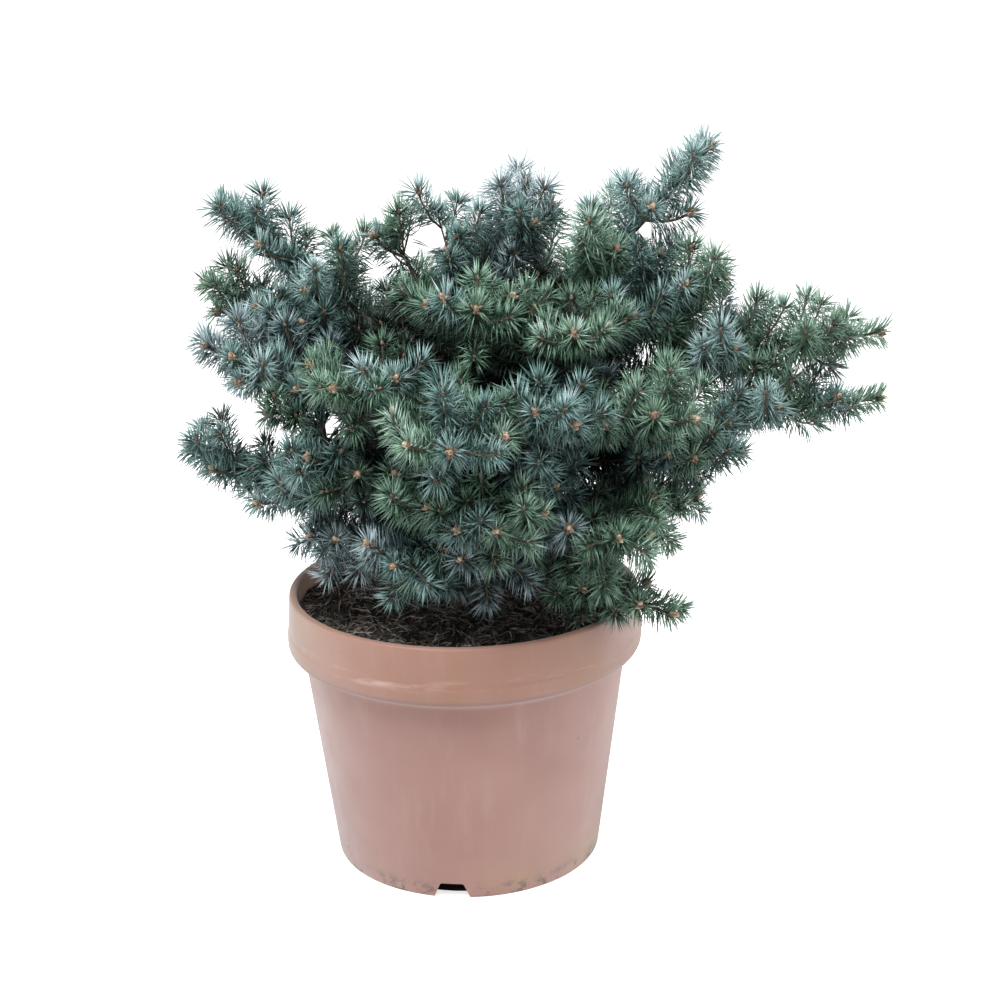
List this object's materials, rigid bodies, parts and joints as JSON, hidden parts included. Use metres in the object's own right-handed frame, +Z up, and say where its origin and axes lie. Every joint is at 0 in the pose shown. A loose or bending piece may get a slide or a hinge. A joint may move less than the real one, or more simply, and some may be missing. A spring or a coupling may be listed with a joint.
{
  "type": "potted dwarf white spruce",
  "caption": "Young dwarf white spruce with spreading boughs of short blue-green needles, growing in a round clay-coloured plastic nursery pot filled with dark potting mix.",
  "frame": {"origin": "on the pot's axis at the floor, in the middle of the pot's flat underside", "axes": "+Z up, +X to the right and -Y towards the viewer of the picture, which is the pot's and the crown's front"},
  "size_m": [0.4691, 0.3568, 0.4789],
  "materials": {
    "pot_plastic": "satin",
    "potting_mix": "matte",
    "bark": "matte",
    "needles": "matte"
  },
  "bodies": {
    "root": {"bough_back": "bark", "bough_back_left": "bark", "bough_back_low": "bark", "bough_back_right": "bark", "bough_far_left_low": "bark", "bough_far_right_high": "bark", "bough_far_right_low": "bark", "bough_front": "bark", "bough_front_crest": "bark", "bough_front_low": "bark", "bough_front_right": "bark", "bough_front_right_crest": "bark", "bough_high_left": "bark", "bough_high_right": "bark", "bough_left_crest": "bark", "bough_left_face": "bark", "bough_left_fore": "bark", "bough_left_low_fore": "bark", "bough_low_front": "bark", "bough_low_front_left": "bark", "bough_low_left": "bark", "bough_low_right": "bark", "bough_low_right_fore": "bark", "bough_right_crest": "bark", "bough_right_fore": "bark", "bough_right_low_fore": "bark", "bough_right_side": "bark", "bough_shoulder": "bark", "foliage_back": "needles", "foliage_back_left": "needles", "foliage_back_low": "needles", "foliage_back_right": "needles", "foliage_far_left_low": "needles", "foliage_far_right_high": "needles", "foliage_far_right_low": "needles", "foliage_front": "needles", "foliage_front_crest": "needles", "foliage_front_low": "needles", "foliage_front_right": "needles", "foliage_front_right_crest": "needles", "foliage_high_left": "needles", "foliage_high_right": "needles", "foliage_left_crest": "needles", "foliage_left_face": "needles", "foliage_left_fore": "needles", "foliage_left_low_fore": "needles", "foliage_low_front": "needles", "foliage_low_front_left": "needles", "foliage_low_left": "needles", "foliage_low_right": "needles", "foliage_low_right_fore": "needles", "foliage_right_crest": "needles", "foliage_right_fore": "needles", "foliage_right_low_fore": "needles", "foliage_right_side": "needles", "foliage_shoulder": "needles", "foliage_top": "needles", "pot": "pot_plastic", "potting_mix": "potting_mix", "trunk": "bark"}
  },
  "joints": []
}
